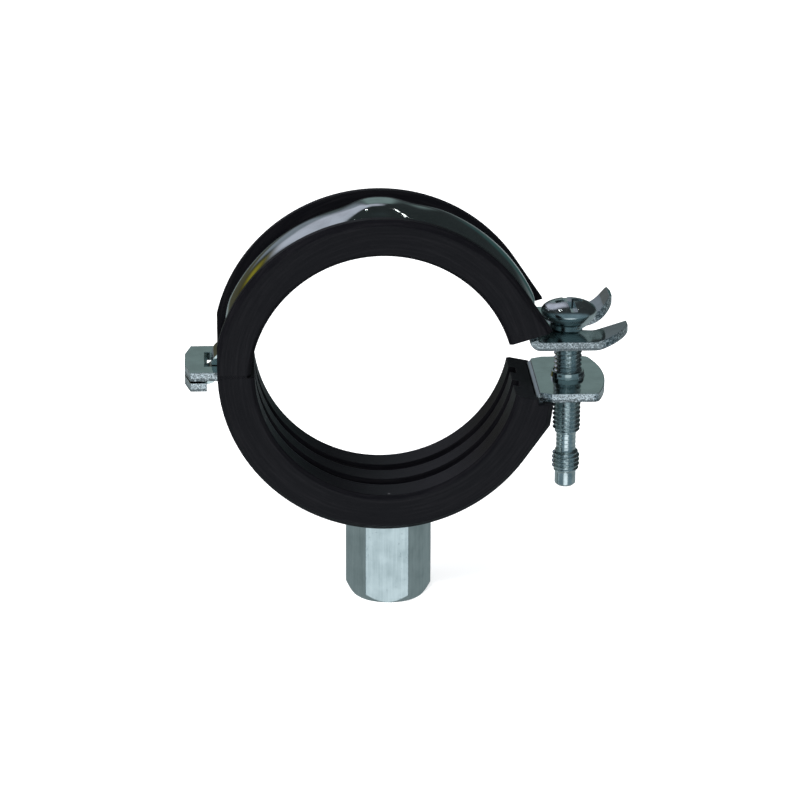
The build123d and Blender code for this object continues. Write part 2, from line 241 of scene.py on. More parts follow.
def effect_group(
    name: str,
    inputs: Sequence[tuple[str, str]],
    outputs: Sequence[tuple[str, str]],
    fill: Callable[[Graph, bpy.types.NodeOutputs], dict],
) -> bpy.types.NodeTree:
    """Makes a shared effect, or finds it again.

    Args:
        name: Its name.
        inputs: Name and kind of each input, the kind being Float, Vector or Color.
        outputs: Name and kind of each output.
        fill: Adds the nodes and returns the socket for each output.

    Returns:
        The node group.
    """
    if name in bpy.data.node_groups:
        return bpy.data.node_groups[name]
    group = bpy.data.node_groups.new(name, "ShaderNodeTree")
    for label, kind in inputs:
        group.interface.new_socket(label, in_out="INPUT", socket_type="NodeSocket" + kind)
    for label, kind in outputs:
        group.interface.new_socket(label, in_out="OUTPUT", socket_type="NodeSocket" + kind)
    graph = Graph(group)
    results = fill(graph, graph.add("NodeGroupInput").outputs)
    end = graph.add("NodeGroupOutput")
    for label, socket in results.items():
        graph.put(end.inputs[label], socket)
    return group


def streaks() -> bpy.types.NodeTree:
    """Fine lines along one direction, as drawing or extruding leaves them.

    Returns:
        The group, with Position, Stretch and Scale in, and Value and Fine out.
    """

    def fill(graph: Graph, given: bpy.types.NodeOutputs) -> dict:
        """Two layers of noise drawn out along the lines.

        Args:
            graph: Graph of the group.
            given: Sockets that the group is given.

        Returns:
            Output sockets by name.
        """
        pair = {0: given["Position"], 1: given["Stretch"]}
        product = graph.add("VectorMath", pair, operation="MULTIPLY")
        broad = graph.noise(product.outputs[0], 1.0, 3.0)
        graph.put(broad.node.inputs["Scale"], given["Scale"])
        fine = graph.noise(product.outputs[0], 1.0, 2.0)
        graph.put(fine.node.inputs["Scale"], graph.times(given["Scale"], FINER))
        value = graph.math("MULTIPLY_ADD", fine, 0.4, graph.times(broad, 0.6))
        return {"Value": value, "Fine": fine}

    inputs = (("Position", "Vector"), ("Stretch", "Vector"), ("Scale", "Float"))
    return effect_group("streaks", inputs, (("Value", "Float"), ("Fine", "Float")), fill)


def mottle() -> bpy.types.NodeTree:
    """Cloudy patches with small pits, as plating leaves them.

    Returns:
        The group, with Position and Scale in, and Cloud and Pit out.
    """

    def fill(graph: Graph, given: bpy.types.NodeOutputs) -> dict:
        """Noise for the clouds and cells for the pits.

        Args:
            graph: Graph of the group.
            given: Sockets that the group is given.

        Returns:
            Output sockets by name.
        """
        cloud = graph.noise(given["Position"], 1.0, 4.0)
        graph.put(cloud.node.inputs["Scale"], given["Scale"])
        cell = graph.add("TexVoronoi", {"Vector": given["Position"]}, feature="F1")
        graph.put(cell.inputs["Scale"], graph.times(given["Scale"], 5.0))
        pit = graph.rest(graph.step(cell.outputs["Distance"], 0.05, 0.32))
        rare = graph.step(graph.noise(given["Position"], 900.0, 1.0), 0.52, 0.62)
        return {"Cloud": cloud, "Pit": graph.times(pit, rare)}

    inputs = (("Position", "Vector"), ("Scale", "Float"))
    return effect_group("mottle", inputs, (("Cloud", "Float"), ("Pit", "Float")), fill)


# ---- Finishes ----


def new_material(name: str) -> tuple[Material, Graph, bpy.types.Node, bpy.types.Node]:
    """Starts a material.

    Args:
        name: Its name.

    Returns:
        The material, its graph, its Principled shader and its texture coordinates.
    """
    material = bpy.data.materials.new(name)
    material.use_nodes = True
    graph = Graph(material.node_tree)
    shader = material.node_tree.nodes["Principled BSDF"]
    return material, graph, shader, graph.add("TexCoord")


@dataclass(frozen=True)
class StripZinc:
    """Bright zinc on rolled strip, with its sheared edges."""

    name: str = "zinc plated strip"
    colour: Colour = (0.52, 0.585, 0.575)
    stain: Colour = (0.42, 0.47, 0.46)
    # Cut edge colours below: the metal's rough texture, with painted glints at the bright end and
    # painted dark gaps between them at the dark end.
    edge: Colour = (0.82, 0.86, 0.88)
    edge_dark: Colour = (0.12, 0.135, 0.14)
    roughness: Span = (0.055, 0.13)
    edge_roughness: Span = (0.28, 0.5)

    def cut_edges(self, graph: Graph, position: Socket, normal: Socket) -> tuple[Socket, ...]:
        """Where the strip was sheared: faces along the pipe, and the ends of the strip.

        Args:
            graph: Graph of the material.
            position: Place on the strip.
            normal: Way that its face looks.

        Returns:
            Mask of the cut edges, their rough texture with painted glints mixed in, and the mask
            of the painted glints.
        """
        x, y, z = graph.split(position)
        _, side, level = graph.split(normal)
        outer = graph.step(graph.math("ABSOLUTE", y), *CUT_SIDE)
        flank = graph.times(graph.step(graph.math("ABSOLUTE", side), 0.55, 0.85), outer)
        upright = graph.rest(graph.step(graph.math("ABSOLUTE", level), 0.3, 0.6))
        ends = graph.step(graph.math("ABSOLUTE", x), *CUT_END)
        mask = graph.math("MAXIMUM", flank, graph.times(upright, ends))
        coarse = graph.noise(position, 2900.0, 3.0)
        cell = graph.add("TexVoronoi", {"Vector": position, "Scale": 5600.0}, feature="F1")
        # Painted glints: a share of the cells is made bright in the base colour, as if catching
        # light.
        painted_glint = graph.step(graph.split(cell.outputs["Color"])[0], 0.45, 0.95)
        grain_and_glint = graph.math("MULTIPLY_ADD", painted_glint, 0.5, graph.times(coarse, 0.8))
        sheared = 0.0
        for foot in SHEARED_LEVELS:
            above = graph.step(z, foot - 0.02 * MM, foot)
            gone = graph.step(z, foot + SHEARED_BAND[0], foot + SHEARED_BAND[1])
            below = graph.rest(gone)
            sheared = graph.math("MAXIMUM", graph.times(above, below), sheared)
        grain_and_glint = graph.times(grain_and_glint, graph.between(sheared, 1.0, 0.55))
        calm = graph.math("MULTIPLY_ADD", grain_and_glint, 0.4, 0.17)
        grain_and_glint = graph.blend(graph.step(z, -1.0 * MM, 0.0), grain_and_glint, calm)
        return mask, grain_and_glint, painted_glint

    def material(self) -> Material:
        """Builds the material.

        Returns:
            The material.
        """
        material, graph, shader, place = new_material(self.name)
        position, normal = place.outputs["Object"], place.outputs["Normal"]
        cloud = graph.effect(mottle(), Position=position, Scale=260.0)
        mask, grain_and_glint, painted_glint = self.cut_edges(graph, position, normal)
        lines = graph.effect(streaks(), Position=position, Stretch=(1.0, 14.0, 1.0), Scale=500.0)
        face = graph.mix(graph.step(cloud.outputs["Cloud"], 0.35, 0.75), self.colour, self.stain)
        # Colour of the cut edges: rough texture, with the painted glints bright and painted dark
        # gaps between them.
        torn_and_glint = graph.mix(graph.step(grain_and_glint, 0.26, 0.62), self.edge_dark, self.edge)
        graph.put(shader.inputs["Base Color"], graph.mix(mask, face, torn_and_glint))
        plain = graph.between(cloud.outputs["Cloud"], *self.roughness)
        rough = graph.between(painted_glint, *self.edge_roughness)
        graph.fill(shader, {"Roughness": graph.blend(mask, plain, rough), "Metallic": 1.0})
        height = graph.times(grain_and_glint, mask)
        fine = graph.math("MULTIPLY_ADD", lines.outputs["Value"], 0.012, height)
        graph.relief(shader, fine, 0.11 * MM, 0.2 * MM)
        return material


@dataclass(frozen=True)
class LiningRubber:
    """Black extruded rubber with fine lines along its length."""

    name: str = "black rubber"
    colour: Colour = (0.0040, 0.0038, 0.0052)
    worn: Colour = (0.0110, 0.0105, 0.0125)
    speck: Colour = (0.12, 0.12, 0.13)
    roughness: Span = (0.42, 0.60)

    def along(self, graph: Graph, position: Socket) -> Socket:
        """Place on the rubber as way along the arc, way across it, and distance from the axis.

        Args:
            graph: Graph of the material.
            position: Place in the frame of the solids.

        Returns:
            The place's socket.
        """
        x, y, z = graph.split(position)
        square = graph.math("ADD", graph.times(x, x), graph.times(z, z))
        way = graph.times(graph.math("ARCTAN2", z, x), ARC_RADIUS)
        return graph.join(way, y, graph.math("SQRT", square))

    def dust(self, graph: Graph, position: Socket) -> Socket:
        """Sparse pale specks, in the middles of a few cells.

        Args:
            graph: Graph of the material.
            position: Place in the frame of the solids.

        Returns:
            The mask of the specks.
        """
        cell = graph.add("TexVoronoi", {"Vector": position, "Scale": 330.0}, feature="F1")
        near = graph.rest(graph.step(cell.outputs["Distance"], 0.05, 0.13))
        few = graph.step(graph.split(cell.outputs["Color"])[1], 0.86, 0.9)
        return graph.times(near, few)

    def material(self) -> Material:
        """Builds the material.

        Returns:
            The material.
        """
        material, graph, shader, coordinates = new_material(self.name)
        position = coordinates.outputs["Object"]
        place = self.along(graph, position)
        lines = graph.effect(streaks(), Position=place, Stretch=(0.03, 1.0, 1.0), Scale=2600.0)
        cloud = graph.effect(mottle(), Position=position, Scale=170.0)
        pale = graph.step(lines.outputs["Value"], 0.42, 0.75)
        body = graph.mix(pale, self.colour, self.worn)
        tone = graph.mix(self.dust(graph, position), body, self.speck)
        graph.put(shader.inputs["Base Color"], tone)
        half = graph.times(pale, 0.5)
        mixed = graph.math("MULTIPLY_ADD", cloud.outputs["Cloud"], 0.5, half)
        rough = graph.between(mixed, *self.roughness)
        graph.fill(shader, {"Roughness": rough, "Specular IOR Level": 0.11})
        graph.relief(shader, lines.outputs["Value"], 0.05 * MM, 0.3 * MM)
        return material


@dataclass(frozen=True)
class NutZinc:
    """Zinc on drawn hexagon bar: upright lines under a cloudy film."""

    name: str = "zinc plated nut"
    colour: Colour = (0.53, 0.59, 0.595)
    stain: Colour = (0.39, 0.45, 0.455)
    roughness: Span = (0.24, 0.40)

    def material(self) -> Material:
        """Builds the material.

        Returns:
            The material.
        """
        material, graph, shader, place = new_material(self.name)
        position = place.outputs["Object"]
        lines = graph.effect(streaks(), Position=position, Stretch=(1.0, 1.0, 0.035), Scale=1500.0)
        cloud = graph.effect(mottle(), Position=position, Scale=300.0)
        half = graph.times(lines.outputs["Value"], 0.5)
        shade = graph.math("MULTIPLY_ADD", cloud.outputs["Cloud"], 0.5, half)
        tone = graph.mix(graph.step(shade, 0.36, 0.66), self.colour, self.stain)
        rough = graph.between(shade, *self.roughness)
        graph.fill(shader, {"Base Color": tone, "Roughness": rough, "Metallic": 1.0})
        deep = graph.math("MULTIPLY_ADD", cloud.outputs["Pit"], -0.8, lines.outputs["Value"])
        graph.relief(shader, deep, 0.03 * MM, 0.25 * MM, 0.8)
        return material


@dataclass(frozen=True)
class ScrewZinc:
    """Bright zinc on the cold-formed and rolled screw."""

    name: str = "zinc plated screw"
    colour: Colour = (0.60, 0.655, 0.66)
    stain: Colour = (0.44, 0.50, 0.51)
    roughness: Span = (0.13, 0.26)

    def material(self) -> Material:
        """Builds the material.

        Returns:
            The material.
        """
        material, graph, shader, place = new_material(self.name)
        position = place.outputs["Object"]
        cloud = graph.effect(mottle(), Position=position, Scale=520.0)
        tone = graph.mix(graph.step(cloud.outputs["Cloud"], 0.4, 0.7), self.colour, self.stain)
        rough = graph.between(cloud.outputs["Cloud"], *self.roughness)
        graph.fill(shader, {"Base Color": tone, "Roughness": rough, "Metallic": 1.0})
        deep = graph.math("MULTIPLY_ADD", cloud.outputs["Pit"], -0.5, cloud.outputs["Cloud"])
        graph.relief(shader, deep, 0.010 * MM, 0.035 * MM, 0.7)
        return material


# ---- Mesh tools ----


def lathe(rows: Sequence[Sequence[Span]], centre: Vector, closed: bool = True) -> Mesh:
    """Mesh of rings round an upright axis, each point of a ring with its own radius and height.

    Args:
        rows: Rings from one end to the other, each a list of (radius, height) round the axis.
        centre: Point on the axis that the heights count from.
        closed: Whether the two ends are closed by a face.

    Returns:
        The mesh.
    """
    mesh = bmesh.new()
    count = len(rows[0])
    rings = []
    for row in rows:
        ring = []
        for step, (radius, height) in enumerate(row):
            turn = 2 * pi * step / count
            away = Vector((radius * cos(turn), radius * sin(turn), height))
            ring.append(mesh.verts.new(centre + away))
        rings.append(ring)
    for low, high in zip(rings, rings[1:]):
        for step in range(count):
            after = (step + 1) % count
            mesh.faces.new((low[step], low[after], high[after], high[step]))
    if closed:
        mesh.faces.new(list(reversed(rings[0])))
        mesh.faces.new(rings[-1])
    bmesh.ops.recalc_face_normals(mesh, faces=mesh.faces)
    return mesh


def thread_rise(phase: float, crest: float = 0.14, root: float = 0.14) -> float:
    """Height of a thread's flank, 0 in its root and 1 on its crest.

    Args:
        phase: Way through one pitch, in turns.
        crest: Share of the pitch that the flat crest takes.
        root: Share of the pitch that the flat root takes.

    Returns:
        The height.
    """
    way = abs((phase % 1.0) - 0.5)
    flank = 0.5 - crest / 2 - root / 2
    return min(1.0, max(0.0, (way - root / 2) / flank))


def place_mesh(name: str, mesh: Mesh, material: Material, crease: float) -> Piece:
    """Turns a mesh into an object of the scene.

    Args:
        name: Name of the piece.
        mesh: Its mesh, which is freed.
        material: Its finish.
        crease: Angle in degrees above which an edge stays sharp.

    Returns:
        The object.
    """
    data = bpy.data.meshes.new(name)
    mesh.to_mesh(data)
    mesh.free()
    data.shade_smooth()
    data.set_sharp_from_angle(angle=radians(crease))
    data.materials.append(material)
    piece = bpy.data.objects.new(name, data)
    bpy.context.scene.collection.objects.link(piece)
    return piece


def dress(node: str, material: Material, slot: Slot, crease: float) -> Piece:
    """Gives a solid its finish and smooth shading.

    Args:
        node: Name of the solid.
        material: Its finish.
        slot: Its slot in the record; not used.
        crease: Angle in degrees above which an edge stays sharp.

    Returns:
        The solid's object.
    """
    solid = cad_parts[node]
    solid.data.materials.clear()
    solid.data.materials.append(material)
    solid.data.shade_smooth()
    solid.data.set_sharp_from_angle(angle=radians(crease))
    return solid


def ease(way: float) -> float:
    """Smooth way from 0 to 1 for an even one."""
    return way * way * (3 - 2 * way)


# ---- Pieces ----


@dataclass
class LinedHalf:
    """One half of the clamp: its strip and its lining."""

    band: str
    lining: str
    strip_crease: float = 28.0
    rubber_crease: float = 50.0

    def build(self, strip: Material, rubber: Material) -> Iterable[Piece]:
        """Dresses the strip and the lining and returns them."""
        yield dress(self.band, strip, Slot.STRIP, self.strip_crease)
        yield dress(self.lining, rubber, Slot.RUBBER, self.rubber_crease)


@dataclass
class UpperCrown:
    """The crown of the upper strip with its pressed pad, and the rubber at the hinge.

    The solids carry the crown in a few flats. Here it is drawn smooth, and they settle under it.
    Angles are degrees round the centre of the half, from the closing side over the top.
    """

    piece: str = "upper_strip_face"
    band: str = "upper_band"
    lining: str = "upper_lining"
    centre: Span = (-0.76 * MM, -1.94 * MM)
    outer_radius: float = 27.5 * MM
    half_width: float = 9.0 * MM
    solid_rise: float = 1.9 * MM
    crest_radius: float = 28.5 * MM
    rise: float = 2.6 * MM
    closing_lift: float = 0.7 * MM
    closing_reach: float = 25.0
    ends: Span = (16.8, 170.0)
    fades: Span = (8.0, 16.0)
    trims: Span = (0.3, 0.5)
    seen_half: float = 8.28 * MM
    above: float = 0.02 * MM
    margin: float = 0.08 * MM
    lining_limit: float = 28.0 * MM
    pad_centre: Span = (-0.9 * MM, 0.0 * MM)
    pad_reach: Span = (4.3 * MM, 4.3 * MM)
    pad_powers: Span = (2.6, 4.0)
    pad_top: float = 27.57 * MM
    pad_lowest_sine: float = 0.8
    joint_low: Point = (-28.75 * MM, -10.48 * MM, -0.7 * MM)
    joint_high: Point = (-23.8 * MM, 10.48 * MM, -0.29 * MM)
    steps: tuple[int, int] = (190, 56)

    def ramp(self, angle: float) -> float:
        """Even rise from 0 at the two ends of the crown to 1 between them.

        Args:
            angle: Angle round the centre of the half.

        Returns:
            The height of the ramp.
        """
        start = (angle - self.ends[0]) / self.fades[0]
        finish = (self.ends[1] - angle) / self.fades[1]
        return max(0.0, min(1.0, start, finish))

    def share(self, angle: float) -> float:
        """How much of the crown stands at an angle, from 0 to 1."""
        return ease(self.ramp(angle))

    def radius(self, angle: float, across: float) -> float:
        """Radius of the outer face at an angle and a way across.

        Args:
            angle: Angle round the centre of the half.
            across: Way across the strip, along Y.

        Returns:
            The radius.
        """
        flat = self.outer_radius + self.above
        turn = max(0.0, min(1.0, (90.0 - angle) / self.closing_reach))
        lift = self.closing_lift * ease(turn)
        crown = self.crest_radius + lift - self.rise * (across / self.half_width) ** 2
        radius = flat + (crown - flat) * self.share(angle)
        height = sin(radians(angle))
        if height < self.pad_lowest_sine:
            return radius
        x = self.centre[0] + radius * cos(radians(angle))
        along = abs((x - self.pad_centre[0]) / self.pad_reach[0]) ** self.pad_powers[0]
        beside = abs((across - self.pad_centre[1]) / self.pad_reach[1]) ** self.pad_powers[1]
        level = (self.pad_top - self.centre[1]) / height
        return radius + max(0.0, level - radius) * exp(-along - beside)

    def face(self, material: Material) -> Piece:
        """Builds the smooth outer face of the strip.

        Args:
            material: Its finish.

        Returns:
            The face.
        """
        mesh = bmesh.new()
        rows = []
        length = self.ends[1] - self.ends[0] - sum(self.trims)
        for i in range(self.steps[0] + 1):
            angle = self.ends[0] + self.trims[0] + length * i / self.steps[0]
            row = []
            for j in range(self.steps[1] + 1):
                across = self.seen_half * (2 * j / self.steps[1] - 1)
                radius = self.radius(angle, across)
                x = self.centre[0] + radius * cos(radians(angle))
                z = self.centre[1] + radius * sin(radians(angle))
                row.append(mesh.verts.new((x, across, z)))
            rows.append(row)
        for low, high in zip(rows, rows[1:]):
            for j in range(self.steps[1]):
                mesh.faces.new((low[j], high[j], high[j + 1], low[j + 1]))
        bmesh.ops.recalc_face_normals(mesh, faces=mesh.faces)
        mesh.faces.ensure_lookup_table()
        middle = mesh.faces[len(mesh.faces) // 2]
        if middle.normal.dot(middle.calc_center_median()) < 0:
            bmesh.ops.reverse_faces(mesh, faces=mesh.faces)
        return place_mesh(self.piece, mesh, material, SMOOTH_ANGLE)

    def settle(self, node: str, limit: float) -> None:
        """Lowers the flats of a solid under the smooth crown.

        Args:
            node: Name of the solid.
            limit: Radius beyond which nothing moves.
        """
        tree = bpy.data.node_groups.new("settle_" + node, "GeometryNodeTree")
        tree.interface.new_socket("Geometry", in_out="INPUT", socket_type="NodeSocketGeometry")
        tree.interface.new_socket("Geometry", in_out="OUTPUT", socket_type="NodeSocketGeometry")
        graph = Graph(tree)
        x, y, z = graph.split(graph.add("GeometryNodeInputPosition").outputs[0])
        dx = graph.math("SUBTRACT", x, self.centre[0])
        dz = graph.math("SUBTRACT", z, self.centre[1])
        square = graph.math("ADD", graph.times(dx, dx), graph.times(dz, dz))
        radius = graph.math("SQRT", square)
        angle = graph.math("ARCTAN2", dz, dx)
        share = 1.0
        for start, stop in (
            (self.ends[0], self.ends[0] + self.fades[0]),
            (self.ends[1], self.ends[1] - self.fades[1]),
        ):
            sockets = {"Value": angle, "From Min": radians(start), "From Max": radians(stop)}
            ramp = graph.add("MapRange", sockets, clamp=True, interpolation_type="SMOOTHSTEP")
            share = graph.times(ramp.outputs[0], share)
        way = graph.math("DIVIDE", y, self.half_width)
        arch = graph.rest(graph.times(way, way))
        arch = graph.math("MAXIMUM", arch, 0.0)
        edge = self.outer_radius - (self.crest_radius - self.rise) + self.margin
        depth = graph.math("MULTIPLY_ADD", arch, self.solid_rise - self.rise, edge)
        inside = graph.math("LESS_THAN", radius, limit)
        between = graph.math("LESS_THAN", graph.math("ABSOLUTE", y), self.half_width + self.margin)
        inside = graph.times(inside, between)
        outside = graph.math("GREATER_THAN", radius, self.outer_radius - 2 * MM)
        drop = graph.times(depth, graph.times(inside, outside))
        drop = graph.times(graph.times(drop, share), -1.0)
        away = graph.join(graph.math("DIVIDE", dx, radius), 0.0, graph.math("DIVIDE", dz, radius))
        shift = graph.add("VectorMath", {0: away, "Scale": drop}, operation="SCALE")
        sockets = {"Geometry": graph.add("NodeGroupInput").outputs[0], "Offset": shift.outputs[0]}
        moved = graph.add("GeometryNodeSetPosition", sockets)
        end = graph.add("NodeGroupOutput")
        graph.put(end.inputs[0], moved.outputs[0])
        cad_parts[node].modifiers.new("settle", "NODES").node_group = tree

    def joint(self, material: Material) -> Piece:
        """Rubber of the lower lining's cut end, where it touches the upper one.

        Args:
            material: Its finish.

        Returns:
            The rubber.
        """
        mesh = bmesh.new()
        low, high = Vector(self.joint_low), Vector(self.joint_high)
        place = Matrix.Translation((low + high) / 2) @ Matrix.Diagonal((*(high - low), 1.0))
        bmesh.ops.create_cube(mesh, size=1.0, matrix=place)
        return place_mesh("lining_joint", mesh, material, SMOOTH_ANGLE)

    def build(self, strip: Material, rubber: Material) -> Iterable[Piece]:
        """Settles the solids and adds the new pieces.

        Args:
            strip: Finish of the strip.
            rubber: Finish of the lining.

        Returns:
            The new pieces.
        """
        self.settle(self.band, 1.0)
        self.settle(self.lining, self.lining_limit)
        face = self.face(strip)
        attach(face, Body.UPPER.value)
        yield face
        joint = self.joint(rubber)
        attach(joint, Body.LOWER.value)
        yield joint


@dataclass
class LowerCrown(UpperCrown):
    """The crown of the lower strip, drawn smooth over the flats of its solid."""

    piece: str = "lower_strip_face"
    centre: Span = (0.0, 0.0)
    crest_radius: float = 29.4 * MM
    rise: float = 1.9 * MM
    closing_lift: float = 0.0
    ends: Span = (-173.0, -15.5)
    fades: Span = (16.0, 8.0)

    def share(self, angle: float) -> float:
        """How much of the crown stands at an angle, its ends running out evenly."""
        return self.ramp(angle)

    def build(self, strip: Material) -> Iterable[Piece]:
        """Adds the smooth face.

        Args:
            strip: Finish of the strip.

        Returns:
            The face.
        """
        face = self.face(strip)
        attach(face, Body.LOWER.value)
        yield face


@dataclass
class ConnectionNut:
    """The combination nut, with the turns of its two threads."""

    node: str = "connection_nut"
    crease: float = 30.0
    m10_wall: float = 4.25 * MM
    m10_pitch: float = 1.5 * MM
    m10_span: Span = (0.75 * MM, 7.3 * MM)
    m8_wall: float = 3.4 * MM
    m8_pitch: float = 1.25 * MM
    m8_span: Span = (7.6 * MM, 13.9 * MM)
    ridge: float = 0.32 * MM
    seat: float = 0.02 * MM
    sides: int = 56
    rings_per_pitch: int = 8

    def turns(self, name: str, wall: float, pitch: float, span: Span, material: Material) -> Piece:
        """Turns of one internal thread.

        Args:
            name: Name of the piece.
            wall: Radius of the bore.
            pitch: Pitch of the thread.
            span: Heights above the foot of the nut that it runs between.
            material: Its finish.

        Returns:
            The object.
        """
        low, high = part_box(self.node)
        middle = (low + high) / 2
        count = int((span[1] - span[0]) / pitch * self.rings_per_pitch)
        rows = []
        for ring in range(count + 1):
            height = span[0] + (span[1] - span[0]) * ring / count
            fade = min(1.0, ring / self.rings_per_pitch, (count - ring) / self.rings_per_pitch)
            row = []
            for step in range(self.sides):
                rise = thread_rise(height / pitch - step / self.sides) * fade
                row.append((wall + self.seat - (self.ridge + self.seat) * rise, height))
            rows.append(row)
        mesh = lathe(rows, Vector((middle.x, middle.y, low.z)), closed=False)
        bmesh.ops.reverse_faces(mesh, faces=mesh.faces)
        return place_mesh(name, mesh, material, SMOOTH_ANGLE)

    def build(self, material: Material) -> Iterable[Piece]:
        """Dresses the nut and adds its threads.

        Args:
            material: Finish of the nut.

        Returns:
            The pieces.
        """
        yield dress(self.node, material, Slot.NUT, self.crease)
        pairs = (
            ("m10_turns", self.m10_wall, self.m10_pitch, self.m10_span),
            ("m8_turns", self.m8_wall, self.m8_pitch, self.m8_span),
        )
        for name, wall, pitch, span in pairs:
            piece = self.turns(name, wall, pitch, span, material)
            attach(piece, Body.LOWER.value)
            yield piece


@dataclass
class ClosingScrew:
    """The M5 screw: domed head with cross and slot, rolled thread, neck and pilot point.

    Heights count from the seat of the head, upwards.
    """

    node: str = "closing_screw"
    head_top: float = 4.45 * MM
    head_radius: float = 4.84 * MM
    rim: float = 2.55 * MM
    foot_radius: float = 3.14 * MM
    foot_height: float = 0.55 * MM
    shoulder_radius: float = 3.49 * MM
    crest_radius: float = 2.44 * MM
    thread_depth: float = 0.42 * MM
    pitch: float = 0.8 * MM
    neck_top: float = -19.15 * MM
    neck_radius: float = 1.75 * MM
    neck_cone: float = 0.75 * MM
    neck_length: float = 2.85 * MM
    point_start: float = -27.0 * MM
    point_radius: float = 1.84 * MM
    end: float = -29.58 * MM
    sides: int = 64
    rings_per_pitch: int = 9
    recess_width: float = 1.25 * MM
    recess_length: float = 5.4 * MM
    recess_depth: float = 2.1 * MM
    recess_turn: float = 8.0
    recess_shrink: Span = (0.42, 1.06)
    slot_width: float = 1.2 * MM
    slot_depth: float = 0.95 * MM
    slot_turn: float = 98.0
    slot_reach: float = 12.0 * MM
    knee: Span = (4.48 * MM, 1.3 * MM)
    flare_steps: int = 8
    dome_steps: int = 14
    shank_crease: float = 50.0
    head_crease: float = 32.0

    def centre(self) -> Vector:
        """Point of the axis at the seat of the head.

        Returns:
            The point.
        """
        low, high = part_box(self.node)
        middle = (low + high) / 2
        return Vector((middle.x, middle.y, high.z - self.head_top))

    def core(self, height: float) -> tuple[float, float]:
        """Outer radius of the shank at a height, and how much of the thread stands there.

        Args:
            height: Height above the seat, negative along the shank.

        Returns:
            The radius, and the share of the thread's depth.
        """
        neck_end = self.neck_top - self.neck_cone - self.neck_length - self.neck_cone
        knots = (
            (self.end, self.point_radius - 0.4 * MM, 0.0),
            (self.end + 0.4 * MM, self.point_radius, 0.0),
            (self.point_start - 0.1 * MM, self.point_radius, 0.0),
            (self.point_start + 0.6 * MM, self.crest_radius - 0.12 * MM, 0.7),
            (self.point_start + 1.2 * MM, self.crest_radius, 1.0),
            (neck_end - 0.5 * MM, self.crest_radius, 1.0),
            (neck_end, self.crest_radius - 0.1 * MM, 0.8),
            (neck_end + self.neck_cone, self.neck_radius, 0.12),
            (self.neck_top - self.neck_cone, self.neck_radius, 0.12),
            (self.neck_top, self.crest_radius - 0.05 * MM, 0.9),
            (self.neck_top + 0.5 * MM, self.crest_radius, 1.0),
            (-0.4 * MM, self.crest_radius, 1.0),
            (0.0, self.crest_radius, 0.0),
        )
        for (low, radius_low, share_low), (high, radius_high, share_high) in zip(knots, knots[1:]):
            if height <= high:
                way = max(0.0, (height - low) / (high - low))
                radius = radius_low + (radius_high - radius_low) * way
                return radius, share_low + (share_high - share_low) * way
        return self.crest_radius, 0.0

    def shank_rows(self) -> list[list[Span]]:
        """Rings of the shank from its point up to the seat of the head.

        Returns:
            The rings, each a list of (radius, height).
        """
        count = int(-self.end / self.pitch * self.rings_per_pitch)
        rows = []
        for ring in range(count + 1):
            height = self.end * (1 - ring / count)
            radius, share = self.core(height)
            row = []
            for step in range(self.sides):
                rise = thread_rise(height / self.pitch - step / self.sides)
                row.append((radius - self.thread_depth * share * (1 - rise), height))
            rows.append(row)
        return rows

    def head_rows(self) -> list[list[Span]]:
        """Rings of the head from its seat up to the top of the dome.

        Returns:
            The rings, each a list of (radius, height).
        """
        profile = [(self.foot_radius, 0.0), (self.foot_radius, self.foot_height * 0.8)]
        profile.append((self.shoulder_radius, self.foot_height))
        waist = Vector((self.shoulder_radius, self.foot_height))
        knee = Vector(self.knee)
        rim = Vector((self.head_radius, self.rim - 0.1 * MM))
        for step in range(1, self.flare_steps + 1):
            way = step / self.flare_steps
            point = waist * (1 - way) ** 2 + knee * 2 * way * (1 - way) + rim * way**2
            profile.append((point.x, point.y))
        dome = self.head_top - self.rim
        for step in range(self.dome_steps + 1):
            turn = radians(90) * step / self.dome_steps
            radius = max(self.head_radius * cos(turn), 0.12 * MM)
            profile.append((radius, self.rim + dome * sin(turn)))
        return [[point] * self.sides for point in profile]

    def cutters(self, centre: Vector) -> Iterable[Mesh]:
        """Cross recess with leaning walls, then the slot right across the head.

        Args:
            centre: The seat of the head on the axis.

        Returns:
            The meshes to take away.
        """
        mesh = bmesh.new()
        top = self.head_top + 0.4 * MM
        for turn in (0.0, 90.0):
            corners = []
            for level, shrink in zip((self.head_top - self.recess_depth, top), self.recess_shrink):
                for sx, sy in ((-1, -1), (1, -1), (1, 1), (-1, 1)):
                    x = sx * self.recess_length / 2 * shrink
                    y = sy * self.recess_width / 2 * (0.75 + 0.25 * shrink)
                    corners.append(Vector((x, y, level)))
            spin = Matrix.Rotation(radians(turn + self.recess_turn), 4, "Z")
            verts = [mesh.verts.new(centre + spin @ corner) for corner in corners]
            for face in BOX_FACES:
                mesh.faces.new([verts[i] for i in face])
        yield mesh
        mesh = bmesh.new()
        spin = Matrix.Rotation(radians(self.slot_turn), 4, "Z")
        size = Matrix.Diagonal((self.slot_reach, self.slot_width, 4 * self.slot_depth, 1.0))
        place = Matrix.Translation(centre + Vector((0, 0, self.head_top + self.slot_depth)))
        bmesh.ops.create_cube(mesh, size=1.0, matrix=place @ spin @ size)
        yield mesh

    def build(self, material: Material) -> Iterable[Piece]:
        """Builds the screw in place of its solid.

        Args:
            material: Finish of the screw.

        Returns:
            Its shank and its head.
        """
        centre = self.centre()
        rows, crease = self.shank_rows(), self.shank_crease
        shank = place_mesh("screw_shank", lathe(rows, centre), material, crease)
        rows, crease = self.head_rows(), self.head_crease
        head = place_mesh("screw_head", lathe(rows, centre), material, crease)
        for tool in self.cutters(centre):
            carve(head, tool, material)
        head.data.set_sharp_from_angle(angle=radians(crease))
        for piece in (shank, head):
            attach(piece, Body.SCREW.value)
            yield piece
        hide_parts(self.node)


